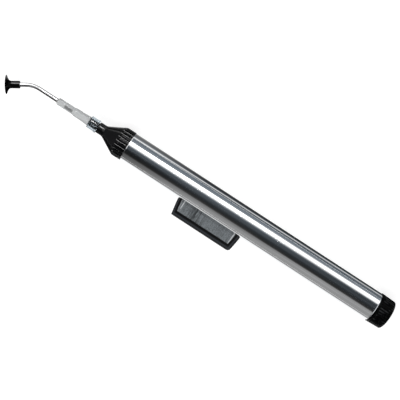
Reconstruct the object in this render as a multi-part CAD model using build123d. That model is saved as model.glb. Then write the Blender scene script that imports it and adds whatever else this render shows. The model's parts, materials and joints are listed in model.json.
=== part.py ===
from build123d import *
from math import asin, atan, atan2, cos, degrees, hypot, radians, sin, tan
import os

# Vacuum pick up pen. All sizes are in millimetres.
#
# The pieces are drawn in the pen's own frame. The x axis is the axis of the barrel,
# with x = 0 at the front end of the tube and +x towards the tail. +z is the way
# the button stands out. At the end the pen is rolled and lifted into the place
# where it lies by itself, on the cap's flange and the edge of the button.

# Barrel tube
barrel_radius = 8.0
barrel_wall = 0.9
barrel_length = 152.0
barrel_edge_chamfer = 0.25

# Button
button_start = 36.2
button_length = 38.0
button_width = 8.0
button_reach = 18.0
button_nose_draft = 9.0
button_tail_draft = 5.5
button_edge_radius = 2.0
button_nose_corner_radius = 0.8
button_tail_corner_radius = 3.0
button_plan_radius = 0.6
button_inner_radius = 0.8
button_wall = 1.4
button_ceiling = 1.8
button_travel = 5.0
button_panel_depth = 0.2
button_panel_nose_border = 2.0
button_panel_tail_border = 2.7
button_panel_top_border = 4.1
button_post_radius = 1.6
button_post_inset = 7.0
window_clearance = 0.2

# Carrier plate under the button
carrier_lip_length = 1.4
carrier_running_gap = 0.3
carrier_half_width = 5.0
carrier_seat_height = 5.7
carrier_post_clearance = 0.03
carrier_leg_length = 4.0
carrier_leg_inside = 4.5
carrier_leg_outside = 5.8
carrier_stop_gap = 0.1

# Squeeze bulb and its band
bulb_radius = 4.2
bulb_wall = 1.2
bulb_body_start = 25.0
bulb_body_end = 82.0
bulb_neck_length = 8.0
bulb_neck_wall = 1.1
bulb_throat_length = 1.0
bulb_shoulder_radius = 20.0
bulb_fit_gap = 0.03
bulb_press_gap = 0.3
collar_inset = 1.2
collar_width = 3.0
collar_thickness = 0.6

# Tray that the bulb lies on
tray_wall = 1.2
tray_front_wall_top = 1.0
tray_rear_wall_top = -1.0
tray_bulb_gap = 0.05
tray_end_gap = 0.3
tray_bore_clearance = 0.1
tray_lip_height = 1.0
tray_trough_half_width = 5.0

# Nose cone
nose_ring_radius = 8.15
nose_neck_radius = 3.0
nose_shoulder = -18.2
nose_cone_start = -14.5
nose_cone_angle = 28.7
nose_neck_fillet = 3.0
nose_ring_fillet = 2.0
flute_count = 22
flute_radius = 0.65
flute_depth = 0.9
plug_length = 10.0
plug_clearance = 0.03
plug_wall = 1.3
plug_core_depth = 8.0
seal_wire_radius = 0.6
seal_place = 3.0
seal_gap = 0.05
barb_root_length = 1.4
barb_root_radius = 2.7
barb_radius = 2.2
barb_length = 6.2
barb_ridge = 0.35
barb_ridge_length = 1.4
air_bore_radius = 1.0
spigot_length = 7.5
spigot_tip_radius = 1.98
luer_taper = 0.06

# Tail cap
cap_flange_radius = 8.3
cap_end_radius = 7.95
cap_length = 8.1
cap_dome_height = 1.2
cap_edge_radius = 0.6
cap_wall = 1.6
cap_plug_length = 6.5
cap_plug_clearance = 0.05
cap_rim_length = 1.0
cap_groove_count = 36
cap_groove_radius = 0.4
cap_groove_depth = 0.22

# Needle hub
hub_gap = 0.3
hub_length = 24.5
hub_tip_radius = 1.9
hub_tip_fillet = 0.4
hub_step_distance = 10.5
hub_step_length = 0.7
hub_step_height = 0.3
hub_waist_distance = 15.0
hub_waist_radius = 2.25
hub_rear_radius = 2.5
hub_collar_radius = 3.35
hub_collar_length = 5.2
hub_flange_radius = 3.6
hub_flange_length = 1.0
hub_lug_radius = 3.9
hub_lug_width = 3.2
hub_spigot_clearance = 0.03
hub_socket_extra = 1.2
hub_well_depth = 1.6
hub_well_radius = 1.45
bond_gap = 0.02
bond_bead_height = 0.5

# Needle tube
needle_radius = 1.05
needle_bore_radius = 0.8
needle_hold = 9.3
needle_run = 15.1
needle_bend_angle = 32.0
needle_bend_radius = 14.0
needle_bend_roll = -25.6

# Suction cup
cup_face_distance = 14.0
cup_total_length = 7.0
cup_seat_depth = 5.0
cup_sleeve_radius = 1.95
cup_rim_radius = 5.1
cup_lip_width = 0.25
cup_bell_length = 2.0
cup_waist_distance = 1.3
cup_waist_radius = 2.45
cup_bowl_depth = 1.3
cup_bowl_floor_radius = 1.4
cup_bowl_waist_distance = 0.75
cup_bowl_waist_radius = 2.3
cup_fit_gap = 0.03
cup_step_gap = 0.05

# Places that follow from the sizes above
bore_radius = barrel_radius - barrel_wall
button_end = button_start + button_length
window_start = button_start - window_clearance
window_end = button_end + window_clearance
carrier_bottom = bulb_radius + bulb_press_gap
carrier_top_radius = bore_radius - carrier_running_gap
post_places = (button_start + button_post_inset, button_end - button_post_inset)
plug_radius = bore_radius - plug_clearance
cap_plug_radius = bore_radius - cap_plug_clearance
barb_start = plug_length + barb_root_length
barb_end = barb_start + barb_length
neck_bore = barb_radius + bulb_fit_gap
neck_radius = neck_bore + bulb_neck_wall
neck_end = barb_start + bulb_neck_length
bulb_end = bulb_body_end + bulb_radius
tray_end = bulb_end + tray_end_gap + tray_wall
tray_radius = bore_radius - tray_bore_clearance
tray_floor = -bulb_radius - tray_bulb_gap
tray_lip_top = tray_floor + tray_lip_height
spigot_tip = nose_shoulder - spigot_length
hub_rear = nose_shoulder - hub_gap
hub_tip = hub_rear - hub_length
needle_end = hub_tip + needle_hold
bend_place = hub_tip - needle_run
cup_start = cup_face_distance - cup_total_length
tip_length = cup_start + cup_seat_depth
pen_height = cap_flange_radius

# How far the button points below the level when the pen lies
edge_reach = button_reach - button_edge_radius
edge_side = button_width / 2 - button_edge_radius
button_drop = degrees(
    asin((pen_height - button_edge_radius) / hypot(edge_reach, edge_side))
    - atan2(edge_side, edge_reach)
)


def turned(outline):
    """A solid turned about the pen's axis from a closed outline of x and radius."""
    return revolve(make_face(outline), Axis.X)


def turned_points(*points):
    """A turned solid whose outline is straight from point to point."""
    return turned(Polyline(*points, close=True))


def ring(start, end, outer, inner=0.0):
    """A plain turned ring, or a disc where the inner radius is zero."""
    return turned_points((start, inner), (end, inner), (end, outer), (start, outer))


def along_pen(section, start, end):
    """A section drawn in y and z, extruded from one place on the axis to another."""
    return extrude(Plane.YZ.offset(start) * section, end - start)


def block(x_ends, y_ends, z_ends):
    """A box given by its two ends along each axis."""
    ends = (x_ends, y_ends, z_ends)
    size = [high - low for low, high in ends]
    middle = [(high + low) / 2 for low, high in ends]
    return Pos(*middle) * Box(*size)


def seal_ring(place):
    """A rubber ring that sits in a groove and reaches almost to the tube's bore."""
    turn_radius = bore_radius - seal_gap - seal_wire_radius
    return Pos(place, 0, 0) * Rot(Y=90) * Torus(turn_radius, seal_wire_radius)


def seal_groove(place):
    """The groove for a seal ring, cut into a plug."""
    half = seal_wire_radius + seal_gap
    bottom = bore_radius - 2 * seal_wire_radius - 2 * seal_gap
    return ring(place - half, place + half, barrel_radius, bottom)


def barrel_tube():
    tube = ring(0, barrel_length, barrel_radius, bore_radius)
    rims = tube.edges().filter_by(GeomType.CIRCLE)
    tube = chamfer(rims.group_by(SortBy.RADIUS)[-1], barrel_edge_chamfer)
    opening = RectangleRounded(
        button_length + 2 * window_clearance,
        button_width + 2 * window_clearance,
        button_plan_radius + window_clearance,
    )
    middle = (button_start + button_end) / 2
    return tube - extrude(Pos(middle, 0) * opening, barrel_radius + 1)


def button_block(inset, top, corner_radii, plan_radius):
    """The button's block, from its side and plan outlines, drawn in by an inset."""
    bottom = carrier_seat_height
    start = button_start + inset
    end = button_end - inset
    nose_lean = (top - barrel_radius) * tan(radians(button_nose_draft))
    tail_lean = (top - barrel_radius) * tan(radians(button_tail_draft))
    side = make_face(
        Polyline(
            (start, bottom),
            (start, barrel_radius),
            (start + nose_lean, top),
            (end - tail_lean, top),
            (end, barrel_radius),
            (end, bottom),
            close=True,
        )
    )
    for index, radius in zip((0, -1), corner_radii):
        corner = side.vertices().group_by(Axis.Y)[-1].sort_by(Axis.X)[index]
        side = fillet(corner, radius)
    width = button_width - 2 * inset
    plan = Pos((start + end) / 2, 0) * RectangleRounded(end - start, width, plan_radius)
    body = extrude(Plane.XZ * side, width, both=True)
    return body & extrude(plan, top + 1)


def thumb_button():
    bottom = carrier_seat_height
    ceiling = button_reach - button_ceiling
    corner_radii = (button_nose_corner_radius, button_tail_corner_radius)
    shell = button_block(0, button_reach, corner_radii, button_plan_radius)
    end_view = Pos(0, button_reach / 2) * Rectangle(button_width, button_reach)
    end_view = fillet(end_view.vertices().group_by(Axis.Y)[-1], button_edge_radius)
    shell &= along_pen(end_view, button_start - 1, button_end + 1)
    inner_radii = (button_inner_radius, button_inner_radius)
    shell -= button_block(button_wall, ceiling, inner_radii, button_inner_radius)
    panel_top = button_reach - button_panel_top_border
    nose_lean = (panel_top - barrel_radius) * tan(radians(button_nose_draft))
    tail_lean = (panel_top - barrel_radius) * tan(radians(button_tail_draft))
    panel_start = button_start + button_panel_nose_border
    panel_end = button_end - button_panel_tail_border
    panel = make_face(
        Polyline(
            (panel_start, bottom),
            (panel_start + nose_lean, panel_top),
            (panel_end - tail_lean, panel_top),
            (panel_end, bottom),
            close=True,
        )
    )
    recess = extrude(Plane.XZ * panel, button_panel_depth, both=True)
    for side in (-1, 1):
        shell -= Pos(0, side * button_width / 2, 0) * recess
    post_height = ceiling - carrier_bottom
    for place in post_places:
        post = Cylinder(button_post_radius, post_height)
        shell += Pos(place, 0, carrier_bottom + post_height / 2) * post
    return shell


def push_carrier():
    outer = Circle(carrier_top_radius)
    lower_edge = Pos(0, carrier_bottom + carrier_top_radius / 2)
    section = outer & (lower_edge * Rectangle(2 * carrier_half_width, carrier_top_radius))
    start = window_start - carrier_lip_length
    end = window_end + carrier_lip_length
    plate = along_pen(section, start, end)
    plate -= block(
        (window_start, window_end),
        (-barrel_radius, barrel_radius),
        (carrier_seat_height, barrel_radius),
    )
    leg_bottom = tray_lip_top + button_travel + carrier_stop_gap
    leg_middle = (carrier_leg_inside + carrier_leg_outside) / 2
    leg_width = carrier_leg_outside - carrier_leg_inside
    leg_height = carrier_seat_height - leg_bottom
    for side in (-1, 1):
        leg = Pos(side * leg_middle, leg_bottom + leg_height / 2) * Rectangle(leg_width, leg_height)
        for place in (start, end - carrier_leg_length):
            plate += along_pen(outer & leg, place, place + carrier_leg_length)
    hole_radius = button_post_radius + carrier_post_clearance
    for place in post_places:
        plate -= Pos(place, 0, carrier_bottom) * Cylinder(hole_radius, barrel_radius)
    return plate


def squeeze_bulb():
    cavity = bulb_radius - bulb_wall
    ridge_start = barb_end - barb_ridge_length - bulb_fit_gap
    outline = FilletPolyline(
        (barb_start, neck_radius),
        (neck_end, neck_radius),
        (bulb_body_start, bulb_radius),
        (bulb_body_end, bulb_radius),
        radius=bulb_shoulder_radius,
    )
    outline += ThreePointArc(
        (bulb_body_end, bulb_radius),
        (bulb_body_end + bulb_radius * sin(radians(45)), bulb_radius * cos(radians(45))),
        (bulb_end, 0),
    )
    outline += Line((bulb_end, 0), (bulb_body_end + cavity, 0))
    outline += ThreePointArc(
        (bulb_body_end + cavity, 0),
        (bulb_body_end + cavity * sin(radians(45)), cavity * cos(radians(45))),
        (bulb_body_end, cavity),
    )
    outline += Polyline(
        (bulb_body_end, cavity),
        (bulb_body_start, cavity),
        (barb_end + bulb_throat_length, neck_bore),
        (barb_end, neck_bore),
        (ridge_start, neck_bore + barb_ridge),
        (ridge_start, neck_bore),
        (barb_start, neck_bore),
        (barb_start, neck_radius),
    )
    return turned(outline)


def bulb_collar():
    start = barb_start + collar_inset
    inner = neck_radius + bulb_fit_gap
    return ring(start, start + collar_width, inner + collar_thickness, inner)


def tray_section(top):
    """The lower part of the tray's circle, up to a level."""
    height = tray_radius + top
    band = Pos(0, top - height / 2) * Rectangle(2 * tray_radius, height)
    return Circle(tray_radius) & band


def cradle_tray():
    trough = Pos(0, tray_floor + barrel_radius / 2) * Rectangle(
        2 * tray_trough_half_width, barrel_radius
    )
    tray = along_pen(tray_section(tray_lip_top) - trough, plug_length, tray_end)
    slot_radius = barb_root_radius + tray_bulb_gap
    slot = Circle(slot_radius) + Pos(0, barrel_radius / 2) * Rectangle(
        2 * slot_radius, barrel_radius
    )
    front_wall = tray_section(tray_front_wall_top) - slot
    tray += along_pen(front_wall, plug_length, plug_length + tray_wall)
    tray += along_pen(tray_section(tray_rear_wall_top), tray_end - tray_wall, tray_end)
    return tray


def nose_cone():
    cone_length = (nose_ring_radius - nose_neck_radius) / tan(radians(nose_cone_angle))
    outline = FilletPolyline(
        (nose_shoulder, nose_neck_radius),
        (nose_cone_start, nose_neck_radius),
        (nose_cone_start + cone_length, nose_ring_radius),
        (0, nose_ring_radius),
        radius=[nose_neck_fillet, nose_ring_fillet],
    )
    outline += Polyline(
        (0, nose_ring_radius), (0, 0), (nose_shoulder, 0), (nose_shoulder, nose_neck_radius)
    )
    nose = turned(outline)
    flute_centre = nose_ring_radius + flute_radius - flute_depth
    flute = Pos(0, 0, flute_centre) * Rot(Y=-90) * Cylinder(
        flute_radius, -nose_cone_start, align=(Align.CENTER, Align.CENTER, Align.MIN)
    )
    nose -= [Rot(X=360 * step / flute_count) * flute for step in range(flute_count)]
    spigot_root = spigot_tip_radius + spigot_length * luer_taper / 2
    nose += turned_points(
        (spigot_tip, 0),
        (spigot_tip, spigot_tip_radius),
        (nose_shoulder, spigot_root),
        (nose_shoulder, 0),
    )
    nose += ring(0, plug_length, plug_radius)
    ridge_start = barb_end - barb_ridge_length
    nose += turned_points(
        (plug_length, 0),
        (plug_length, barb_root_radius),
        (barb_start, barb_root_radius),
        (barb_start, barb_radius),
        (ridge_start, barb_radius),
        (ridge_start, barb_radius + barb_ridge),
        (barb_end, barb_radius - bulb_fit_gap),
        (barb_end, 0),
    )
    core_start = plug_length - plug_core_depth
    seal_wall = bore_radius - 2 * seal_wire_radius - 2 * seal_gap - plug_wall
    nose -= ring(core_start, plug_length, seal_wall, barb_root_radius + plug_wall)
    nose -= seal_groove(seal_place)
    return nose - ring(spigot_tip, barb_end, air_bore_radius)


def tail_cap():
    end = barrel_length + cap_length
    tip = end + cap_dome_height
    dome_radius = (cap_end_radius**2 + cap_dome_height**2) / (2 * cap_dome_height)
    half_turn = asin(cap_end_radius / dome_radius) / 2
    outline = Line((barrel_length, cap_flange_radius), (end, cap_end_radius))
    outline += ThreePointArc(
        (end, cap_end_radius),
        (tip - dome_radius * (1 - cos(half_turn)), dome_radius * sin(half_turn)),
        (tip, 0),
    )
    outline += Polyline(
        (tip, 0), (barrel_length, 0), (barrel_length, cap_flange_radius)
    )
    face = make_face(outline)
    edge = face.vertices().group_by(Axis.Y)[1]
    face = fillet(edge, cap_edge_radius)
    cap = revolve(face, Axis.X)
    taper = atan((cap_flange_radius - cap_end_radius) / cap_length)
    groove_start = barrel_length + cap_rim_length
    groove_centre = cap_flange_radius - cap_rim_length * tan(taper)
    groove_centre += cap_groove_radius - cap_groove_depth
    groove = Pos(groove_start, 0, groove_centre) * Rot(Y=90 + degrees(taper)) * Cylinder(
        cap_groove_radius, 2 * cap_length, align=(Align.CENTER, Align.CENTER, Align.MIN)
    )
    cap -= [Rot(X=360 * step / cap_groove_count) * groove for step in range(cap_groove_count)]
    cap += ring(barrel_length - cap_plug_length, barrel_length, cap_plug_radius)
    seal_wall = bore_radius - 2 * seal_wire_radius - 2 * seal_gap - cap_wall
    cap -= seal_groove(barrel_length - cap_plug_length / 2)
    return cap - ring(barrel_length - cap_plug_length, end - cap_wall, seal_wall)


def needle_hub():
    step_start = hub_tip + hub_step_distance - hub_step_length
    step_end = hub_tip + hub_step_distance
    step_radius = hub_tip_radius + hub_step_height
    collar_start = hub_rear - hub_collar_length
    flange_start = hub_rear - hub_flange_length
    taper = luer_taper / 2
    socket_end = spigot_tip - hub_socket_extra
    socket_radius = spigot_tip_radius + hub_spigot_clearance
    needle_fit = needle_radius + bond_gap
    hub = turned_points(
        (hub_tip, hub_well_radius),
        (hub_tip, hub_tip_radius),
        (step_start, hub_tip_radius),
        (step_end, step_radius),
        (hub_tip + hub_waist_distance, hub_waist_radius),
        (collar_start, hub_rear_radius),
        (collar_start, hub_collar_radius),
        (flange_start, hub_collar_radius),
        (flange_start, hub_flange_radius),
        (hub_rear, hub_flange_radius),
        (hub_rear, socket_radius + taper * (hub_rear - spigot_tip)),
        (socket_end, socket_radius - taper * hub_socket_extra),
        (needle_end, needle_fit),
        (hub_tip + hub_well_depth, needle_fit),
        (hub_tip + hub_well_depth, hub_well_radius),
    )
    front = hub.edges().filter_by(GeomType.CIRCLE).group_by(Axis.X)[0]
    hub = fillet(front.sort_by(SortBy.RADIUS)[-1], hub_tip_fillet)
    lug = ring(flange_start, hub_rear, hub_lug_radius, hub_collar_radius)
    half = hub_lug_width / 2
    reach = 2 * hub_lug_radius
    lug &= block((flange_start, hub_rear), (-reach, reach), (-half, half))
    return hub + lug


def needle_bond():
    inner = needle_radius + bond_gap
    outer = hub_well_radius - bond_gap
    return turned_points(
        (hub_tip + hub_well_depth, inner),
        (hub_tip + hub_well_depth, outer),
        (hub_tip, outer),
        (hub_tip - bond_bead_height, inner),
    )


def needle_tube():
    bend = radians(needle_bend_angle)
    route = Plane.XZ * FilletPolyline(
        (needle_end, 0),
        (bend_place, 0),
        (bend_place - tip_length * cos(bend), tip_length * sin(bend)),
        radius=needle_bend_radius,
    )
    section = Circle(needle_radius) - Circle(needle_bore_radius)
    start = Plane(origin=(needle_end, 0, 0), z_dir=(-1, 0, 0))
    return Rot(X=needle_bend_roll) * sweep(start * section, path=route)


def suction_cup():
    face = cup_face_distance
    inner_rim = cup_rim_radius - cup_lip_width
    bowl_floor = face - cup_bowl_depth
    bore = needle_radius + cup_fit_gap
    seat = tip_length + cup_step_gap
    bell_start = face - cup_bell_length
    outline = Polyline(
        (bowl_floor, cup_bowl_floor_radius),
        (bowl_floor, needle_bore_radius),
        (seat, needle_bore_radius),
        (seat, bore),
        (cup_start, bore),
        (cup_start, cup_sleeve_radius),
        (bell_start, cup_sleeve_radius),
    )
    outline += ThreePointArc(
        (bell_start, cup_sleeve_radius),
        (face - cup_waist_distance, cup_waist_radius),
        (face, cup_rim_radius),
    )
    outline += Line((face, cup_rim_radius), (face, inner_rim))
    outline += ThreePointArc(
        (face, inner_rim),
        (face - cup_bowl_waist_distance, cup_bowl_waist_radius),
        (bowl_floor, cup_bowl_floor_radius),
    )
    to_tip = Pos(bend_place, 0, 0) * Rot(Y=180 + needle_bend_angle)
    return Rot(X=needle_bend_roll) * to_tip * turned(outline)


pieces = {
    "barrel_tube": barrel_tube(),
    "nose_cone": nose_cone(),
    "nose_seal": seal_ring(seal_place),
    "tail_cap": tail_cap(),
    "cap_seal": seal_ring(barrel_length - cap_plug_length / 2),
    "cradle_tray": cradle_tray(),
    "squeeze_bulb": squeeze_bulb(),
    "bulb_collar": bulb_collar(),
    "push_carrier": push_carrier(),
    "thumb_button": thumb_button(),
    "needle_hub": needle_hub(),
    "needle_bond": needle_bond(),
    "needle_tube": needle_tube(),
    "suction_cup": suction_cup(),
}

# The pen is rolled until the button's edge meets the floor, and lifted on to the floor.
# The origin is then under the middle of the whole pen.
lie_down = Pos(0, 0, pen_height) * Rot(X=90 + button_drop)
lying = Compound(children=[lie_down * piece for piece in pieces.values()])
span = lying.bounding_box()
to_floor = Pos(-span.center().X, -span.center().Y, 0) * lie_down

os.makedirs("parts", exist_ok=True)
for name, piece in pieces.items():
    export_step(to_floor * piece, f"parts/{name}.step")
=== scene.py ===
import json
from math import atan2, cos, hypot, pi, radians, sin, sqrt, tan
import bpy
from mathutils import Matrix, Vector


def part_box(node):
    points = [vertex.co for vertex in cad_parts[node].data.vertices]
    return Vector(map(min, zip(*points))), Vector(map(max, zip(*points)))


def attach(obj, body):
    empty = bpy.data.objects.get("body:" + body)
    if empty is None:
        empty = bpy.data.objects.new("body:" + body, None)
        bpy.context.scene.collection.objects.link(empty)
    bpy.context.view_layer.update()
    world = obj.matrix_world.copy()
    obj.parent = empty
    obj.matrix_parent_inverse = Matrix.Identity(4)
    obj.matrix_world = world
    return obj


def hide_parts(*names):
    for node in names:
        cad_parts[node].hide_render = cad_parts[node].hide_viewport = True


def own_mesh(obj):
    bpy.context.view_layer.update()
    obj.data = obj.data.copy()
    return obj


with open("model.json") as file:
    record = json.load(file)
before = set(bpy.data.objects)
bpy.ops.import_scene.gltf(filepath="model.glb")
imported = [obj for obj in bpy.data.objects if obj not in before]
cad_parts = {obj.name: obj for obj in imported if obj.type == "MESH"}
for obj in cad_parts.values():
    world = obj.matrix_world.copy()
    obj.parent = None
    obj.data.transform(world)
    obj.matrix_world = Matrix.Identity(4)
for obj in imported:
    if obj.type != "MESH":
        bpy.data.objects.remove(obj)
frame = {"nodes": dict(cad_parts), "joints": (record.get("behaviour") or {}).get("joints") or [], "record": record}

from types import SimpleNamespace

import bmesh
import bpy
from bpy.props import FloatProperty, FloatVectorProperty, IntProperty, PointerProperty
from mathutils import Matrix, Vector, noise

bl_info = {
    "name": "Vacuum Pick Up Pen",
    "version": (1, 0, 0),
    "blender": (4, 5, 0),
    "location": "3D View > Sidebar > Pick Up Pen",
    "description": "Builds the visible pieces, finishes and studio of a vacuum pick up pen",
    "category": "Object",
}

# The scene starts without the objects of a new file, so that only the pen is measured.
for name in ("Cube", "Light", "Camera"):
    if name in bpy.data.objects:
        bpy.data.objects.remove(bpy.data.objects[name])
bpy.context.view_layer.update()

joints = {joint["name"]: joint for joint in frame["joints"]}
mounts = {mount["name"]: mount for mount in frame["record"]["mounts"]}
MM = 0.001


def axes_at(origin, along, out):
    """A matrix from a frame in millimetres, with x along and z out, to the row frame."""
    across = out.cross(along)
    turn = Matrix((along, across, out)).transposed().to_4x4()
    return Matrix.Translation(origin) @ turn @ Matrix.Scale(MM, 4)


# The pen's own frame: x runs from the tube's front end to the tail, z points out at the button.
tube_low, tube_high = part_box("barrel_tube")
TUBE_FRONT = Vector((tube_low.x, (tube_low.y + tube_high.y) / 2, (tube_low.z + tube_high.z) / 2))
TAILWARD = Vector((1, 0, 0))
BUTTON_OUT = -Vector(joints["button_press"]["axis"]).normalized()
PEN = axes_at(TUBE_FRONT, TAILWARD, BUTTON_OUT)

# The needle's frame is rolled, so that its z points to the side that the tip is bent to.
TIPWARD = Vector(joints["cup_pull"]["axis"]).normalized()
BEND_OUT = (TIPWARD - TAILWARD * TIPWARD.x).normalized()
NEEDLE = axes_at(TUBE_FRONT, TAILWARD, BEND_OUT)
BEND_ANGLE = TIPWARD.angle(-TAILWARD)

# The cup's frame starts where the two straight runs of the needle would meet.
cup_face = Vector(mounts["pickup_face"]["pos_m"])
face_distance = (cup_face - TUBE_FRONT).dot(BEND_OUT) / sin(BEND_ANGLE)
BEND_POINT = cup_face - TIPWARD * face_distance
CUP = axes_at(BEND_POINT, TIPWARD, TIPWARD.cross(BEND_OUT.cross(TAILWARD)).normalized())


def length(name, description, millimetres):
    """A length that the user can change, shown in the scene's units."""
    return FloatProperty(
        name=name, description=description, default=millimetres * MM, precision=5, unit="LENGTH"
    )


def colour(name, description, red, green, blue):
    """A colour that the user can change."""
    return FloatVectorProperty(
        name=name,
        description=description,
        default=(red, green, blue),
        subtype="COLOR",
        size=3,
        min=0,
        max=1,
    )


def angle(name, description, degrees):
    """An angle that the user can change."""
    return FloatProperty(
        name=name, description=description, default=radians(degrees), subtype="ANGLE"
    )


def share(name, description, default, high=1.0):
    """A plain number from nought, such as a roughness."""
    return FloatProperty(name=name, description=description, default=default, min=0, max=high)


class PenSizes(bpy.types.PropertyGroup):
    """The sizes of the visible pieces."""

    tube_radius: length("Tube radius", "Outside radius of the barrel tube", 8.0)
    tube_bore: length("Tube bore", "Inside radius of the barrel tube", 7.1)
    tube_length: length("Tube length", "Length of the barrel tube", 152.0)
    tube_front_edge: length("Tube front edge", "Rounding of the tube's front rim", 0.2)
    tube_tail_edge: length("Tube tail edge", "Rounding of the tube's tail rim", 0.4)
    button_start: length("Button start", "Front end of the button, behind the tube's end", 36.2)
    button_length: length("Button length", "Length of the button at the tube", 38.0)
    button_width: length("Button width", "Width of the button across the pen", 8.0)
    button_reach: length("Button reach", "Top of the button, from the pen's axis", 18.0)
    button_nose_lean: length("Button nose lean", "How far the button's front leans in", 1.584)
    button_tail_lean: length("Button tail lean", "How far the button's back leans in", 0.963)
    button_corner: length("Window corner", "Corner radius of the window's opening", 0.8)
    window_gap: length("Window gap", "Gap between the button and its window", 0.2)
    panel_nose_border: length("Panel nose border", "Frame left in front of the side panel", 2.0)
    panel_tail_border: length("Panel tail border", "Frame left behind the side panel", 2.7)
    panel_top_border: length("Panel top border", "Smooth band above the side panel", 4.1)
    panel_floor: length("Panel floor", "How deep the side panel's recess is", 0.2)
    panel_relief: length("Panel relief", "Height of the side panel's drawn texture", 0.035)
    ring_radius: length("Ring radius", "Radius of the fluted ring on the nose", 8.15)
    neck_radius: length("Neck radius", "Radius of the nose's neck", 3.0)
    nose_shoulder: length("Nose shoulder", "Front of the neck, ahead of the tube's end", 18.2)
    cone_start: length("Cone start", "Where the neck widens, ahead of the tube's end", 14.5)
    cone_length: length("Cone length", "Length of the cone between the neck and the ring", 9.407)
    flute_radius: length("Flute radius", "Radius of the round cutter of the flutes", 0.65)
    flute_depth: length("Flute depth", "Depth of the flutes in the ring", 0.9)
    cap_radius: length("Cap radius", "Radius of the cap where it meets the tube", 8.3)
    cap_end_radius: length("Cap end radius", "Radius of the cap's far end", 7.95)
    cap_length: length("Cap length", "Length of the cap's grooved side", 8.1)
    cap_dome: length("Cap dome", "Rise of the cap's end face", 1.2)
    cap_groove_depth: length("Cap groove depth", "Depth of the cap's grooves", 0.22)
    hub_length: length("Hub length", "Length of the needle's hub", 24.5)
    collar_length: length("Collar length", "Length of the hub's wide clear collar", 5.2)
    needle_radius: length("Needle radius", "Outside radius of the needle", 1.05)
    needle_wall: length("Needle wall", "Wall of the needle", 0.25)
    bend_radius: length("Bend radius", "Radius of the needle's bend at its middle", 14.0)
    cup_radius: length("Cup radius", "Radius of the cup's rim", 5.1)
    sleeve_radius: length("Sleeve radius", "Radius of the cup's sleeve", 1.95)
    flute_count: IntProperty(
        name="Flutes", description="Number of flutes round the nose", default=22, min=3
    )
    groove_count: IntProperty(
        name="Cap grooves", description="Number of grooves round the cap", default=36, min=3
    )


class PenFinishes(bpy.types.PropertyGroup):
    """The colours and finishes of the pieces."""

    metal: colour("Tube metal", "Polished metal of the barrel", 0.80, 0.81, 0.82)
    metal_roughness: share("Tube roughness", "Roughness of the polished barrel", 0.07)
    black: colour("Black plastic", "Moulding of the nose and the cap", 0.0018, 0.0019, 0.0022)
    black_roughness: share("Black roughness", "Roughness of the black nose", 0.15)
    button: colour("Button frame", "Smooth frame of the button", 0.002, 0.0022, 0.0025)
    # Painted highlight along the button frame's outer edges.
    wear_and_sheen: colour("Rubbed edges", "Rubbed edges of the button's frame", 0.030, 0.034, 0.040)
    # Partly wear on the cap's ribs, partly painted glints.
    cap_wear_and_sheen: colour("Rubbed cap", "Rubbed ribs of the tail cap", 0.030, 0.031, 0.033)
    panel: colour("Button panel", "Drawn side panels of the button", 0.175, 0.192, 0.204)
    # Colour of the painted highlight lines on the side panels.
    panel_highlight: colour("Panel line", "Bright lines across the side panels", 0.78, 0.80, 0.82)
    hub: colour("Hub plastic", "Milky moulding of the hub's body", 0.72, 0.735, 0.74)
    # A cool tint of the clear collar, made darker as painted shade.
    collar: colour("Hub collar", "Clear moulding of the hub's collar", 0.46, 0.52, 0.56)
    bond: colour("Bond", "Cured bead at the hub's tip", 0.92, 0.90, 0.84)
    needle: colour("Needle steel", "Polished tube of the needle", 0.80, 0.80, 0.81)
    rubber: colour("Cup rubber", "Black rubber of the suction cup", 0.001, 0.001, 0.0011)
    bulb: colour("Bulb rubber", "Rubber of the squeeze bulb", 0.045, 0.043, 0.042)
    seal: colour("Seal rubber", "Rubber of the seal rings", 0.014, 0.014, 0.014)
    inner: colour("Inner plastic", "Natural moulding inside the barrel", 0.74, 0.73, 0.69)
    band: colour("Band metal", "Crimped band on the bulb's neck", 0.60, 0.60, 0.60)


class StudioSettings(bpy.types.PropertyGroup):
    """The camera and the light."""

    distance: length("Camera distance", "From the camera to the point that it looks at", 487.5)
    side_step: length("Camera side step", "How far the camera stands towards the nose", 11.5)
    swing: angle("Camera swing", "How far the camera turns from square, towards the tail", 0.7)
    field: angle("Field of view", "Angle across the picture", 23.95)
    lean: angle("Camera lean", "Angle from straight above, away from the button", 9.73)
    turn: angle("Picture turn", "How far the pen points down to the right", 33.10)
    aim: FloatVectorProperty(
        name="Camera target",
        description="Middle of the picture, from the tube's front end",
        default=(0.04622, -0.00282, 0.0005),
        subtype="XYZ",
        unit="LENGTH",
        size=3,
    )
    fill: share("Fill light", "Strength of the even light on matt surfaces", 0.62, 4.0)
    key: share("Key light", "Power of the soft lamp, in watts", 5.0, 100.0)
    floor_lift: share("Floor lift", "Light that the floor adds to its own shading", 0.74)


def in_millimetres(group):
    """A size group's lengths in millimetres, and its whole numbers as they are."""
    values = {}
    for name in type(group).__annotations__:
        value = getattr(group, name)
        values[name] = value if isinstance(value, int) else value / MM
    return SimpleNamespace(**values)


# Shaping

SAME_PLACE = 1e-4
SEGMENTS_PER_MM = 8
FEWEST_SEGMENTS = 3
MOST_SEGMENTS = 20


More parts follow.
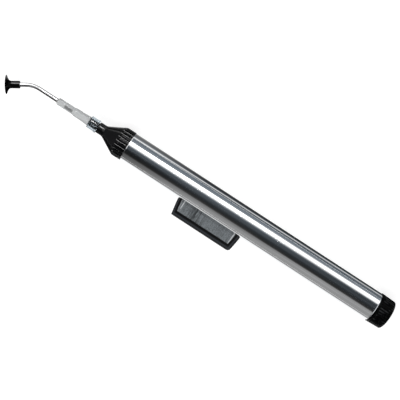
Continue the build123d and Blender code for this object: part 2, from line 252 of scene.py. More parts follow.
def turned(points, steps, divide=None, closed=True):
    """A bmesh turned about x from a wire of (x, radius) or (x, radius, rounding) points.

    divide is (low x, high x, span): edges that lie in that stretch are cut to that span.
    """
    bm = bmesh.new()
    corners = [bm.verts.new((point[0], 0, point[1])) for point in points]
    ends = corners[1:] + corners[:1] if closed else corners[1:]
    for a, b in zip(corners, ends):
        bm.edges.new((a, b))
    for corner, point in zip(corners, points):
        if len(point) == 3:
            segments = min(MOST_SEGMENTS, round(point[2] * SEGMENTS_PER_MM))
            bmesh.ops.bevel(
                bm,
                geom=[corner],
                offset=point[2],
                offset_type="OFFSET",
                segments=max(FEWEST_SEGMENTS, segments),
                profile=0.5,
                affect="VERTICES",
                material=-1,
            )
    if divide:
        low, high, span = divide
        for edge in list(bm.edges):
            places = [vert.co.x for vert in edge.verts]
            inside = low - SAME_PLACE <= min(places) and max(places) <= high + SAME_PLACE
            cuts = int(edge.calc_length() / span)
            if inside and cuts:
                bmesh.ops.subdivide_edges(bm, edges=[edge], cuts=cuts)
    bmesh.ops.spin(
        bm,
        geom=bm.verts[:] + bm.edges[:],
        cent=(0, 0, 0),
        axis=(1, 0, 0),
        angle=2 * pi,
        steps=steps,
        use_merge=True,
    )
    bmesh.ops.remove_doubles(bm, verts=bm.verts, dist=SAME_PLACE)
    bmesh.ops.recalc_face_normals(bm, faces=bm.faces)
    return bm


def smooth_least(a, b, blend):
    """The lesser of two numbers, rounded over where they are close."""
    near = max(blend - abs(a - b), 0) / blend
    return min(a, b) - near * near * blend / 4


def from_middle(angle, pitch):
    """The angle from the middle of the nearest of the cuts that stand a pitch apart."""
    return (angle + pitch / 2) % pitch - pitch / 2


def cutter_floor(angle, pitch, centre, radius):
    """How far from the axis the round cutters leave material at an angle, if they reach it."""
    off = from_middle(angle, pitch)
    side = centre * sin(off)
    if abs(side) >= radius:
        return None
    return centre * cos(off) - sqrt(radius * radius - side * side)


def peak(place, middle, half_width):
    """One at the middle of a line, falling to nought at half its width to each side."""
    return max(0.0, 1 - abs(place - middle) / half_width)


def polar(vert):
    """A vertex's distance from the x axis and its angle round it."""
    return hypot(vert.co.y, vert.co.z), atan2(vert.co.y, vert.co.z)


def set_radius(vert, radius):
    """Moves a vertex straight in or out from the x axis."""
    now = hypot(vert.co.y, vert.co.z)
    vert.co.y *= radius / now
    vert.co.z *= radius / now


def as_object(name, bm, place, sharp=32):
    """Turns a bmesh into an object at the origin, with its place in its mesh."""
    bm.transform(place)
    mesh = bpy.data.meshes.new(name)
    bm.to_mesh(mesh)
    bm.free()
    mesh.shade_smooth()
    mesh.set_sharp_from_angle(angle=radians(sharp))
    piece = bpy.data.objects.new(name, mesh)
    bpy.context.scene.collection.objects.link(piece)
    return piece


def dress(piece, body, slot, materials, *nodes):
    """Gives a piece its materials, its body and the nodes it stands for; slot is not used."""
    for material in materials:
        piece.data.materials.append(material)
    if nodes:
        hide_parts(*nodes)
    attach(piece, body)
    return piece


def cut_away(piece, cutter):
    """Cuts one object out of another, and removes the cutter."""
    boolean = piece.modifiers.new("Cut", "BOOLEAN")
    boolean.operation = "DIFFERENCE"
    boolean.solver = "EXACT"
    boolean.object = cutter
    depsgraph = bpy.context.evaluated_depsgraph_get()
    mesh = bpy.data.meshes.new_from_object(piece.evaluated_get(depsgraph))
    piece.modifiers.clear()
    mesh.name = piece.name
    piece.data = mesh
    bpy.data.objects.remove(cutter)


# Finishes


class Nodes:
    """A node tree that is built up from numbers, colours and the sockets that feed others."""

    def __init__(self, tree):
        self.tree = tree

    def node(self, kind, inputs=None, **settings):
        """Adds a node. An input is a number, a colour or the socket that feeds it."""
        node = self.tree.nodes.new("ShaderNode" + kind)
        for key, value in settings.items():
            setattr(node, key, value)
        for key, value in (inputs or {}).items():
            self.feed(node.inputs[key], value)
        return node

    def feed(self, socket, value):
        """Sets a socket's value, or links what feeds it."""
        if isinstance(value, bpy.types.NodeSocket):
            self.tree.links.new(value, socket)
        elif hasattr(value, "__len__") and len(value) == 3 and len(socket.default_value) == 4:
            socket.default_value = (*value, 1)
        else:
            socket.default_value = value

    def coordinates(self, kind="Object"):
        """The place that is shaded, or the direction that is looked in."""
        return self.node("TexCoord").outputs[kind]

    def axes(self, where):
        """The three numbers of a place or a direction."""
        return self.node("SeparateXYZ", {0: where}).outputs

    def place(self, matrix):
        """Object coordinates turned into a piece's own frame, in millimetres."""
        back = matrix.inverted()
        return self.node(
            "Mapping",
            {
                "Vector": self.coordinates(),
                "Location": back.to_translation(),
                "Rotation": back.to_euler(),
                "Scale": back.to_scale(),
            },
        ).outputs["Vector"]

    def grain(self, where, scale, detail=4.0, roughness=0.55):
        """Noise with a number of grains in each millimetre, or a number of its own along each axis."""
        if isinstance(scale, tuple):
            drawn_out = self.node("VectorMath", {0: where, 1: scale}, operation="MULTIPLY")
            where, scale = drawn_out.outputs["Vector"], 1.0
        return self.node(
            "TexNoise",
            {"Vector": where, "Scale": scale, "Detail": detail, "Roughness": roughness},
        ).outputs["Fac"]

    def ranged(self, value, low, high, new_low=0.0, new_high=1.0):
        """A number moved from one range to another, and held in it."""
        return self.node(
            "MapRange",
            {
                "Value": value,
                "From Min": low,
                "From Max": high,
                "To Min": new_low,
                "To Max": new_high,
            },
        ).outputs["Result"]

    def graded(self, noise, low=0.0, high=1.0):
        """A number that goes from low to high over the range that noise mostly keeps to."""
        return self.ranged(noise, 0.3, 0.7, low, high)

    def within(self, value, rise, fall):
        """One in a stretch of numbers, rising from nought over its start and falling over its end."""
        return self.product(self.ranged(value, *rise), self.ranged(value, *fall, 1.0, 0.0))

    def math(self, operation, a, b=0.0):
        """A number worked out from one or two others."""
        return self.node("Math", {0: a, 1: b}, operation=operation).outputs["Value"]

    def sum(self, a, b):
        return self.math("ADD", a, b)

    def product(self, a, b):
        return self.math("MULTIPLY", a, b)

    def apart(self, value, middle):
        """How far a number lies from a middle one, to either side."""
        return self.math("ABSOLUTE", self.sum(value, -middle))

    def degrees(self, a, b):
        """The angle that has a across and b along, in degrees."""
        return self.product(self.math("ARCTAN2", a, b), 180 / pi)

    def between(self, factor, a, b):
        """A colour between two others."""
        mix = self.node("Mix", {"Factor": factor}, data_type="RGBA")
        self.feed(mix.inputs[6], a)
        self.feed(mix.inputs[7], b)
        return mix.outputs[2]

    def mottled(self, noise, rgb, low, high=1.0):
        """A colour that follows noise from one share of its own level to another."""
        return self.between(self.graded(noise), shade(rgb, low), shade(rgb, high))

    def ramp(self, value, low, high, stops):
        """A colour read from (place, level) or (place, level, tint) stops over a range."""
        ramp = self.node("ValToRGB", {"Fac": self.ranged(value, low, high)})
        elements = ramp.color_ramp.elements
        while len(elements) > 1:
            elements.remove(elements[-1])
        for index, (place, level, *tint) in enumerate(stops):
            position = (place - low) / (high - low)
            stop = elements[0] if index == 0 else elements.new(position)
            stop.position = position
            stop.color = (*shade(tint[0] if tint else (1, 1, 1), level), 1)
        return ramp.outputs["Color"]

    def tinted(self, base, light, gain):
        """A colour with a light added to it, by a gain."""
        scaled = self.node("VectorMath", {0: light, 3: gain}, operation="SCALE").outputs["Vector"]
        return self.node("VectorMath", {0: base, 1: scaled}).outputs["Vector"]

    def attribute(self, name):
        """A number kept on the piece's vertices."""
        return self.node("Attribute", attribute_name=name).outputs["Fac"]


class Finish(Nodes):
    """A node material round one Principled shader."""

    def __init__(self, name):
        self.material = bpy.data.materials.new(name)
        self.material.use_nodes = True
        super().__init__(self.material.node_tree)
        self.shader = self.tree.nodes["Principled BSDF"]

    def set(self, **inputs):
        """Sets the shader's sockets, named with underscores for spaces."""
        for key, value in inputs.items():
            self.feed(self.shader.inputs[key.replace("_", " ")], value)

    def bump(self, height, distance, strength):
        """Raises the surface by a height, over a distance in metres."""
        bump = self.node("Bump", {"Height": height, "Distance": distance, "Strength": strength})
        self.set(Normal=bump.outputs["Normal"])


def shade(rgb, factor):
    """A colour made darker or lighter."""
    return tuple(channel * factor for channel in rgb)


def drawn_metal(finishes):
    """Polished tube with the fine lengthwise lines of drawing and polishing."""
    finish = Finish("drawn_metal")
    where = finish.place(PEN)
    coarse = finish.grain(where, (0.012, 1.1, 1.1), 3.0)
    fine = finish.grain(where, (0.05, 5.5, 5.5), 3.0, 0.6)
    handled = finish.grain(where, 0.09, 3.0)
    lines = finish.sum(finish.product(coarse, 0.6), finish.product(fine, 0.4))
    smooth, dull = 0.8 * finishes.metal_roughness, 1.3 * finishes.metal_roughness
    finish.set(
        Base_Color=finish.mottled(lines, finishes.metal, 0.92, 1.05),
        Metallic=1.0,
        Roughness=finish.sum(
            finish.graded(fine, smooth, dull), finish.ranged(handled, 0.45, 0.75, 0.0, 0.05)
        ),
    )
    finish.bump(lines, 0.00001, 0.35)
    return finish.material


def moulded_black(name, rgb, roughness, refraction, wear_and_sheen):
    """Black moulding with a faint grain, smoother and paler in patches on its rubbed ribs; on the cap the paler
    patches are also painted glints.
    """
    finish = Finish(name)
    where = finish.place(PEN)
    grain = finish.grain(where, 5.0, 3.0)
    cloud = finish.grain(where, 0.35, 3.0)
    wear_and_sheen_mask = finish.attribute("rib_wear")
    # The paler patches are wear on the ribs, and on the cap also painted glints.
    patchy = finish.product(wear_and_sheen_mask, finish.ranged(cloud, 0.5, 0.62))
    finish.set(
        Base_Color=finish.between(patchy, finish.mottled(cloud, rgb, 0.8, 1.3), wear_and_sheen),
        Roughness=finish.sum(
            finish.graded(cloud, roughness * 0.9, roughness * 1.15), finish.product(wear_and_sheen_mask, -0.05)
        ),
        IOR=refraction,
    )
    finish.bump(grain, 0.00002, 0.2)
    return finish.material


def button_frame(finishes, size):
    """Black frame of the button, with a painted grey highlight along its outer edges."""
    finish = Finish("button_frame")
    where = finish.place(PEN)
    x, _, z = finish.axes(where)
    grain = finish.grain(where, 4.0, 3.0)
    up = finish.ranged(z, size.tube_radius, size.button_reach)
    front = finish.sum(x, finish.product(up, -size.button_nose_lean))
    back = finish.sum(x, finish.product(up, size.button_tail_lean))
    # Each edge's painted highlight lies round a middle, to half a width on each side of it.
    edges = (
        (z, size.button_reach - 2.2, 0.75),
        (front, size.button_start + 0.75, 0.5),
        (back, size.button_start + size.button_length - 1.15, 0.6),
    )
    wear_and_sheen = 0.0
    for place, middle, half in edges:
        edge = finish.ranged(finish.apart(place, middle), half * 0.4, half, 1.0, 0.0)
        wear_and_sheen = finish.math("MAXIMUM", edge, wear_and_sheen)
    patchy = finish.product(wear_and_sheen, finish.ranged(grain, 0.3, 0.6, 0.7, 1.0))
    finish.set(
        Base_Color=finish.between(patchy, finishes.button, finishes.wear_and_sheen),
        Roughness=finish.graded(grain, 0.26, 0.36),
        Specular_IOR_Level=0.35,
    )
    finish.bump(grain, 0.00002, 0.25)
    return finish.material


def drawn_panel(finishes):
    """Grey side panel with short irregular lines and specks across the pen, painted shade round its edges and by
    the tube, and painted highlight lines across it.
    """
    finish = Finish("drawn_panel")
    where = finish.place(PEN)
    streaks = finish.grain(where, (2.6, 0.4, 0.14), 5.0, 0.65)
    specks = finish.grain(where, (2.2, 1.2, 1.7), 4.0, 0.7)
    tone = finish.sum(
        finish.ranged(streaks, 0.38, 0.64, 0.0, 0.5), finish.ranged(specks, 0.40, 0.60, 0.0, 0.6)
    )
    deep = finish.product(finish.ranged(streaks, 0.46, 0.56, 1.0, 0.0), finish.attribute("marked"))
    base = finish.between(tone, shade(finishes.panel, 0.55), shade(finishes.panel, 1.5))
    base = finish.between(deep, base, shade(finishes.panel, 0.16))
    # Painted shade along the panel's edges and at the window's gap by the tube.
    base = finish.between(finish.attribute("dark_rim"), base, shade(finishes.panel, 0.04))
    finish.set(
        # Painted highlight lines across the panel.
        Base_Color=finish.between(finish.attribute("bright_edge"), base, finishes.panel_highlight),
        Metallic=0.3,
        Roughness=finish.graded(specks, 0.36, 0.6),
    )
    finish.bump(tone, 0.00005, 0.6)
    return finish.material


def milky_plastic(finishes, size):
    """Milky moulding of the hub's body, with faint flow marks, painted light on its side away from the button, and
    a painted dark shade where the needle's end lies in it.
    """
    finish = Finish("milky_plastic")
    where = finish.place(PEN)
    x, _, z = finish.axes(where)
    flow = finish.grain(where, (0.25, 0.9, 0.9), 3.0)
    # Painted light: the side away from the button is lighter.
    lit = finish.ranged(z, -2.0, 2.0, 1.0, 0.0)
    pale = finish.between(lit, shade(finishes.hub, 0.95), shade(finishes.hub, 1.16))
    flow_marks = finish.product(finish.graded(flow), 0.25)
    flowed = finish.between(flow_marks, pale, shade(finishes.hub, 0.8))
    hub_tip = -size.nose_shoulder - HUB_GAP - size.hub_length
    # A painted dark shade on the hub's surface where the needle's end lies inside it.
    needle_shade_middle, needle_shade_height = hub_tip + 6.9, -0.15
    along = finish.ranged(finish.apart(x, needle_shade_middle), 2.1, 2.7, 0.9, 0.0)
    across = finish.ranged(finish.apart(z, needle_shade_height), 0.5, 1.05, 1.0, 0.0)
    finish.set(
        Base_Color=finish.between(finish.product(along, across), flowed, shade(finishes.hub, 0.26)),
        Roughness=finish.graded(flow, 0.34, 0.46),
        IOR=1.49,
        Transmission_Weight=0.35,
    )
    finish.bump(flow, 0.00003, 0.2)
    return finish.material


def clear_plastic(finishes):
    """Clear moulding of the hub's collar. It bends light little, so the taper inside looks wide. Its grey-blue
    colour is a cool tint of the plastic, made darker as painted shade.
    """
    finish = Finish("clear_plastic")
    haze = finish.grain(finish.place(PEN), 0.8, 3.0)
    finish.set(
        Base_Color=finish.mottled(haze, finishes.collar, 0.94),
        Roughness=0.0,
        IOR=1.14,
        Transmission_Weight=1.0,
        Coat_Weight=1.0,
        Coat_Roughness=0.06,
        Coat_IOR=1.5,
    )
    return finish.material


def cured_bead(finishes):
    """Clear bead of cured adhesive, with a few soft ripples."""
    finish = Finish("cured_bead")
    ripple = finish.grain(finish.place(PEN), 1.4, 2.0)
    finish.set(
        Base_Color=finish.mottled(ripple, finishes.bond, 1.0, 0.9),
        Roughness=finish.graded(ripple, 0.08, 0.2),
        IOR=1.5,
        Transmission_Weight=0.85,
    )
    finish.bump(ripple, 0.00005, 0.4)
    return finish.material


def lined_metal(name, place, rgb, scale, dark, pale, smooth, dull, depth):
    """Metal with fine lines in it: shades of its colour, roughness and the lines' depth and push."""
    finish = Finish(name)
    lines = finish.grain(finish.place(place), scale, 3.0)
    finish.set(
        Base_Color=finish.mottled(lines, rgb, dark, pale),
        Metallic=1.0,
        Roughness=finish.graded(lines, smooth, dull),
    )
    finish.bump(lines, *depth)
    return finish.material


def bright_steel(finishes):
    """Polished needle tube with faint lines along it."""
    return lined_metal(
        "bright_steel",
        NEEDLE,
        finishes.needle,
        scale=(0.15, 7.0, 7.0),
        dark=0.94,
        pale=1.04,
        smooth=0.07,
        dull=0.14,
        depth=(0.000006, 0.25),
    )


def crimped_band(finishes):
    """Band metal with lines that run round the pen."""
    return lined_metal(
        "crimped_band",
        PEN,
        finishes.band,
        scale=(9.0, 0.3, 0.3),
        dark=0.85,
        pale=1.0,
        smooth=0.25,
        dull=0.4,
        depth=(0.00001, 0.4),
    )


def moulded_rubber(name, rgb, roughness, place, bloom=0.0, gloss=0.5, polished=None):
    """Rubber with a fine skin, and a pale bloom or a polished strip along it where it has one.

    polished is the strip's angle round x and half its width, in radians, and the x it ends at.
    """
    finish = Finish(name)
    where = finish.place(place)
    skin = finish.grain(where, 6.0, 3.0)
    cloud = finish.grain(where, 0.5, 4.0)
    if polished:
        middle, half, end = polished
        x, y, z = finish.axes(where)
        off = finish.apart(finish.math("ARCTAN2", y, z), middle)
        strip = finish.ranged(off, half * 0.5, half, 1.0, 0.0)
        strip = finish.product(strip, finish.ranged(x, end - 0.4, end, 1.0, 0.0))
        gloss = finish.sum(finish.product(strip, 1.0 - gloss), gloss)
    bloomed = tuple(channel + bloom for channel in shade(rgb, 1.4))
    finish.set(
        Base_Color=finish.between(finish.ranged(cloud, 0.4, 0.75), rgb, bloomed),
        Roughness=finish.graded(skin, roughness * 0.88, roughness * 1.12),
        Specular_IOR_Level=gloss,
    )
    finish.bump(skin, 0.00002, 0.3)
    return finish.material


def natural_plastic(finishes):
    """Off white moulding of the inner parts, with flow marks along it."""
    finish = Finish("natural_plastic")
    where = finish.place(PEN)
    flow = finish.grain(where, (0.08, 0.5, 0.5))
    skin = finish.grain(where, 4.0, 2.0)
    finish.set(
        Base_Color=finish.mottled(flow, finishes.inner, 0.92),
        Roughness=finish.graded(skin, 0.42, 0.55),
        Subsurface_Weight=0.15,
        Subsurface_Scale=0.001,
    )
    finish.bump(skin, 0.00002, 0.25)
    return finish.material


# Pieces

# Lengths in millimetres that more than one piece uses. FIT_GAP parts what is pushed together,
# and TAPER is what the nose's spigot gains in radius for each millimetre towards its root.
FIT_GAP = 0.03
AIR_BORE = 1.0
TAPER = 0.03
SPIGOT_LENGTH = 7.5
SPIGOT_TIP = 1.98
SPIGOT_ROOT = SPIGOT_TIP + TAPER * SPIGOT_LENGTH
HUB_GAP = 0.3
NEEDLE_HOLD = 9.3
NEEDLE_TIP = 12.0
BARB_START = 11.4
BARB_RIDGE = 16.2
BARB_END = 17.6
BARB_RADIUS = 2.2
RIDGE_RADIUS = 2.55
BULB_NECK_END = 19.4
BULB_NECK_RADIUS = 3.33
BULB_RADIUS = 4.2


def plug_outline(start, way, radius, groove, end, inner):
    """The outside of a plug and its seal's groove, from its shoulder to its end and in to inner."""
    groove_width = 1.3
    groove_floor = 5.8
    return [
        (start, radius),
        (start + way * groove, radius),
        (start + way * groove, groove_floor),
        (start + way * (groove + groove_width), groove_floor),
        (start + way * (groove + groove_width), radius),
        (start + way * end, radius, 0.3),
        (start + way * end, inner),
    ]


def give_finish(node, material):
    """Assigns a material to every slot of a CAD node."""
    for slot in frame["nodes"][node].material_slots:
        slot.material = material


class PieceOperator:
    """What the pen's operators share."""

    bl_options = {"REGISTER", "UNDO"}

    def settings(self, context):
        """The sizes in millimetres, and the finishes."""
        return in_millimetres(context.scene.pen_sizes), context.scene.pen_finishes


class PEN_OT_barrel(PieceOperator, bpy.types.Operator):
    """Builds the polished barrel tube with the button's window in it"""

    bl_idname = "pen.barrel"
    bl_label = "Barrel"

    def execute(self, context):
        size, finishes = self.settings(context)
        tube = turned(
            [
                (0, size.tube_bore),
                (0, size.tube_radius, size.tube_front_edge),
                (size.tube_front_edge + 0.3, size.tube_radius),
                (size.tube_length - size.tube_tail_edge - 0.3, size.tube_radius),
                (size.tube_length, size.tube_radius, size.tube_tail_edge),
                (size.tube_length, size.tube_bore),
            ],
            steps=256,
        )
        barrel = as_object("polished_barrel", tube, PEN)
        opening = bmesh.new()
        middle = size.button_start + size.button_length / 2
        long = size.button_length + 2 * size.window_gap
        wide = size.button_width + 2 * size.window_gap
        high = 2 * size.tube_radius
        bmesh.ops.create_cube(opening, size=1)
        bmesh.ops.scale(opening, vec=(long, wide, high), verts=opening.verts)
        upright = [e for e in opening.edges if abs(e.verts[0].co.z - e.verts[1].co.z) > wide]
        bmesh.ops.bevel(
            opening,
            geom=upright,
            offset=size.button_corner,
            segments=8,
            profile=0.5,
            affect="EDGES",
            material=-1,
        )
        bmesh.ops.translate(opening, vec=(middle, 0, high / 2), verts=opening.verts)
        cut_away(barrel, as_object("window_cutter", opening, PEN))
        barrel.data.shade_smooth()
        barrel.data.set_sharp_from_angle(angle=radians(30))
        barrel.data.materials.clear()
        dress(barrel, "barrel", "barrel_metal", [drawn_metal(finishes)], "barrel_tube")
        return {"FINISHED"}


class PEN_OT_nose(PieceOperator, bpy.types.Operator):
    """Builds the fluted nose with its taper, its plug and its barb"""

    bl_idname = "pen.nose"
    bl_label = "Nose"

    def execute(self, context):
        size, finishes = self.settings(context)
        shoulder = -size.nose_shoulder
        spigot_tip = shoulder - SPIGOT_LENGTH
        cone_end = size.cone_length - size.cone_start
        plug = size.tube_bore - FIT_GAP
        plug_end, plug_inner = 10, 4.5
        core_start, core_radius, barb_root = 2, 4.0, 2.7
        bm = turned(
            [
                (spigot_tip, AIR_BORE),
                (spigot_tip, SPIGOT_TIP, 0.15),
                (shoulder, SPIGOT_ROOT),
                (shoulder, size.neck_radius, 0.25),
                (-size.cone_start, size.neck_radius, 0.77),
                (cone_end, size.ring_radius, 0.5),
                (0, size.ring_radius),
                *plug_outline(0, 1, plug, 2.35, plug_end, plug_inner),
                (core_start, plug_inner),
                (core_start, core_radius),
                (plug_end, core_radius),
                (plug_end, barb_root),
                (BARB_START, barb_root),
                (BARB_START, BARB_RADIUS),
                (BARB_RIDGE, BARB_RADIUS),
                (BARB_RIDGE, RIDGE_RADIUS, 0.06),
                (BARB_END, BARB_RADIUS - FIT_GAP),
                (BARB_END, AIR_BORE),
            ],
            steps=20 * size.flute_count,
            divide=(shoulder, 0.0, 0.28),
        )
        self.cut_flutes(bm, size, plug)
        nose = as_object("fluted_nose", bm, PEN)
        wear_and_sheen = shade(finishes.black, 2.6)
        black = moulded_black("nose_plastic", finishes.black, finishes.black_roughness, 1.46, wear_and_sheen)
        dress(nose, "barrel", "black_plastic", [black], "nose_cone")
        return {"FINISHED"}

    def cut_flutes(self, bm, size, plug):
        """Presses the flutes into the ring and marks where the ribs between them are rubbed."""
        flutes_start, inmost = -11, 5
        rib_from, rib_edge = 6.9, 0.25
        blend = 0.12
        rib = bm.verts.layers.float.new("rib_wear")
        pitch = 2 * pi / size.flute_count
        centre = size.ring_radius + size.flute_radius - size.flute_depth
        for vert in bm.verts:
            radius, angle = polar(vert)
            on_end = vert.co.x > -SAME_PLACE
            if vert.co.x > SAME_PLACE or vert.co.x < flutes_start or radius < inmost:
                continue
            if on_end and radius < size.ring_radius - 0.1:
                continue
            floor = cutter_floor(angle, pitch, centre, size.flute_radius)
            if floor is None:
                beyond = abs(centre * sin(from_middle(angle, pitch))) - size.flute_radius
                vert[rib] = max(0, 1 - beyond / rib_edge) if radius > rib_from else 0
                continue
            new = smooth_least(radius, floor, blend)
            if on_end:
                new = max(new, plug + 0.01)
            vert[rib] = 1.0 if 0.02 < radius - new < 0.3 else 0.0
            set_radius(vert, new)


class PEN_OT_tail_cap(PieceOperator, bpy.types.Operator):
    """Builds the grooved cap with its domed end and its plug"""

    bl_idname = "pen.tail_cap"
    bl_label = "Tail cap"

    def execute(self, context):
        size, finishes = self.settings(context)
        wall, plug_gap = 1.6, 0.05
        start = size.tube_length
        end = start + size.cap_length
        hollow_end, hollow_radius = end - wall, 4.2
        plug = size.tube_bore - plug_gap
        bm = turned(
            [
                (end + size.cap_dome, 0),
                (end, size.cap_end_radius, 0.6),
                (start, size.cap_radius, 0.12),
                *plug_outline(start, -1, plug, 2.6, 6.5, hollow_radius),
                (hollow_end, hollow_radius),
                (hollow_end, 0),
            ],
            steps=12 * size.groove_count,
            divide=(start + 0.05, end + size.cap_dome, 0.35),
            closed=False,
        )
        self.dome(bm, size, end)
        self.cut_grooves(bm, size, start)
        cap = as_object("grooved_cap", bm, PEN, sharp=40)
        dark = shade(finishes.black, 0.4)
        # The cap's paler rib patches are partly wear and partly painted glints.
        black = moulded_black("cap_plastic", dark, 0.26, 1.12, finishes.cap_wear_and_sheen)
        dress(cap, "cap", "black_plastic", [black], "tail_cap")
        return {"FINISHED"}

    def dome(self, bm, size, end):
        """Raises the end face to a shallow dome inside its rounded edge."""
        sphere = (size.cap_end_radius**2 + size.cap_dome**2) / (2 * size.cap_dome)
        for vert in bm.verts:
            radius = hypot(vert.co.y, vert.co.z)
            if vert.co.x >= end - 0.01 and radius < size.cap_end_radius - 0.7:
                vert.co.x = end + size.cap_dome - sphere + sqrt(sphere * sphere - radius * radius)

    def cut_grooves(self, bm, size, start):
        """Presses the grooves into the side and the end face, behind a plain rim."""
        rim, run_in, inmost = 0.9, 0.25, 6.5
        cutter, blend = 0.4, 0.06
        rib = bm.verts.layers.float.new("rib_wear")
        pitch = 2 * pi / size.groove_count
        taper = (size.cap_radius - size.cap_end_radius) / size.cap_length
        for vert in bm.verts:
            radius, angle = polar(vert)
            run = vert.co.x - start
            if run < rim or radius < inmost:
                continue
            depth = size.cap_groove_depth * min(1.0, (run - rim) / run_in)
            centre = size.cap_radius - taper * run + cutter - depth
            floor = cutter_floor(angle, pitch, centre, cutter)
            new = radius if floor is None else smooth_least(radius, floor, blend)
            # This rib mark gives the cap both wear and painted glints.
            vert[rib] = 1.0 if floor is None and run > 1.2 else 0.0
            set_radius(vert, new)


# Painted highlight lines across the button's panels, in millimetres from the button's front: where
# each lies, half its width, its least strength, and its strength at the tube and how fast it falls
# outwards.
PANEL_HIGHLIGHTS = ((3.95, 0.4, 0.1, 2.6, 6), (34.5, 0.45, 0.2, 3.2, 5))


class PEN_OT_button(PieceOperator, bpy.types.Operator):
    """Finishes the button and lays the drawn panels into its sides"""

    bl_idname = "pen.button"
    bl_label = "Button"

    def execute(self, context):
        size, finishes = self.settings(context)
        give_finish("thumb_button", button_frame(finishes, size))
        drawn = drawn_panel(finishes)
        for side, name in ((1, "button_panel_upper"), (-1, "button_panel_lower")):
            panel = as_object(name, self.panel(size, side), PEN, sharp=60)
            dress(panel, "button", "button_plastic", [drawn])
        return {"FINISHED"}

    def panel(self, size, side):
        """A thin slab in a side's recess, with its drawn face in relief and marks for its finish, its painted
        shade and its painted highlights.
        """
        gap = 0.04
        low = 6.0
        top = size.button_reach - size.panel_top_border - gap
        start = size.button_start + size.panel_nose_border + gap
        end = size.button_start + size.button_length - size.panel_tail_border - gap
        floor = size.button_width / 2 - size.panel_floor
        rim_width, rim_low, thickness = 0.15, 7.8, 0.13
        bm = bmesh.new()
        bmesh.ops.create_grid(bm, x_segments=300, y_segments=60, size=0.5)
        bright = bm.verts.layers.float.new("bright_edge")
        dark = bm.verts.layers.float.new("dark_rim")
        marked = bm.verts.layers.float.new("marked")
        for vert in bm.verts:
            u = vert.co.x + 0.5
            v = vert.co.y + 0.5
            z = low + v * (top - low)
            up = (z - size.tube_radius) / (size.button_reach - size.tube_radius)
            front = start + up * size.button_nose_lean
            back = end - up * size.button_tail_lean
            x = front + u * (back - front)
            near = min(x - front, back - x, top - z)
            streak = noise.noise(Vector((x * 2.3, z * 0.2, 3.0 * side)))
            speck = noise.noise(Vector((x * 5.5, z * 2.2, 9.0 + side)))
            relief = size.panel_relief * (0.7 * streak + 0.3 * speck)
            y = floor + 0.01 + max(0.0, (thickness + relief) * min(1.0, near / 0.3))
            vert.co = (x, side * min(y, size.button_width / 2 - 0.01), z)
            # Painted shade: at the window's gap near the tube, and round the panel's edges.
            root = min(0.4, rim_low - z) if z > 7.2 else 0.0
            vert[dark] = max(0.0, 1 - near / rim_width, root)
            vert[marked] = peak(u, 0.32, 0.16) + peak(u, 0.0, 0.05)
            # Painted highlights: a faint line along the panel's front edge, and the lines across it.
            line = 0.3 * peak(x - front, 0.5, 0.3)
            for place, half, least, at_tube, fall in PANEL_HIGHLIGHTS:
                strength = min(1.0, max(least, at_tube - fall * up))
                line = max(line, peak(x - size.button_start, place, half) * strength)
            vert[bright] = line * min(1.0, near / 0.2) * (1 - vert[dark])
        behind = bmesh.ops.extrude_face_region(bm, geom=bm.faces[:])
        for item in behind["geom"]:
            if isinstance(item, bmesh.types.BMVert):
                item.co.y = side * (floor + 0.002)
        bmesh.ops.recalc_face_normals(bm, faces=bm.faces)
        return bm


class PEN_OT_hub(PieceOperator, bpy.types.Operator):
    """Builds the hub, milky with a clear collar and lugs, and finishes the bead at its tip"""

    bl_idname = "pen.hub"
    bl_label = "Hub"

    def execute(self, context):
        size, finishes = self.settings(context)
        rear = -size.nose_shoulder - HUB_GAP
        tip = rear - size.hub_length
        collar = rear - size.collar_length
        step, waist = tip + 10.5, tip + 15.0
        flange = rear - 1.0
        tip_radius, waist_radius, rear_radius = 1.9, 2.25, 2.5
        collar_radius, flange_radius, lug_radius, lug_width = 3.35, 3.6, 3.9, 3.2
        well, well_radius = tip + 1.6, 1.45
        socket_extra = 1.2
        socket_mouth = SPIGOT_ROOT + FIT_GAP - TAPER * HUB_GAP
        socket_end = rear + HUB_GAP - SPIGOT_LENGTH - socket_extra
        socket_radius = SPIGOT_TIP + FIT_GAP - TAPER * socket_extra
        fit = size.needle_radius + 0.02
        bm = turned(
            [
                (tip, well_radius),
                (tip, tip_radius, 0.35),
                (step - 0.7, tip_radius, 0.2),
                (step, 2.2, 0.2),
                (waist, waist_radius, 0.8),
                (collar, rear_radius, 0.25),
                (collar, collar_radius, 0.25),
                (flange, collar_radius, 0.12),
                (flange, flange_radius, 0.1),
                (rear, flange_radius, 0.15),
                (rear, socket_mouth, 0.1),
                (socket_end, socket_radius, 0.1),
                (tip + NEEDLE_HOLD, fit, 0.2),
                (well, fit),
                (well, well_radius, 0.1),
            ],
            steps=144,
            divide=(tip, rear, 0.5),
        )
        for vert in bm.verts:
            radius, angle = polar(vert)
            if vert.co.x > flange - 0.05 and radius > flange_radius - 0.2:
                if abs(cos(angle)) * lug_radius < lug_width / 2:
                    set_radius(vert, radius + lug_radius - flange_radius)
        for face in bm.faces:
            face.material_index = 1 if face.calc_center_median().x > collar - 0.1 else 0
        hub = as_object("moulded_hub", bm, PEN, sharp=40)
        plastics = [milky_plastic(finishes, size), clear_plastic(finishes)]
        dress(hub, "needle", "hub_plastic", plastics, "needle_hub")
        give_finish("needle_bond", cured_bead(finishes))
        return {"FINISHED"}


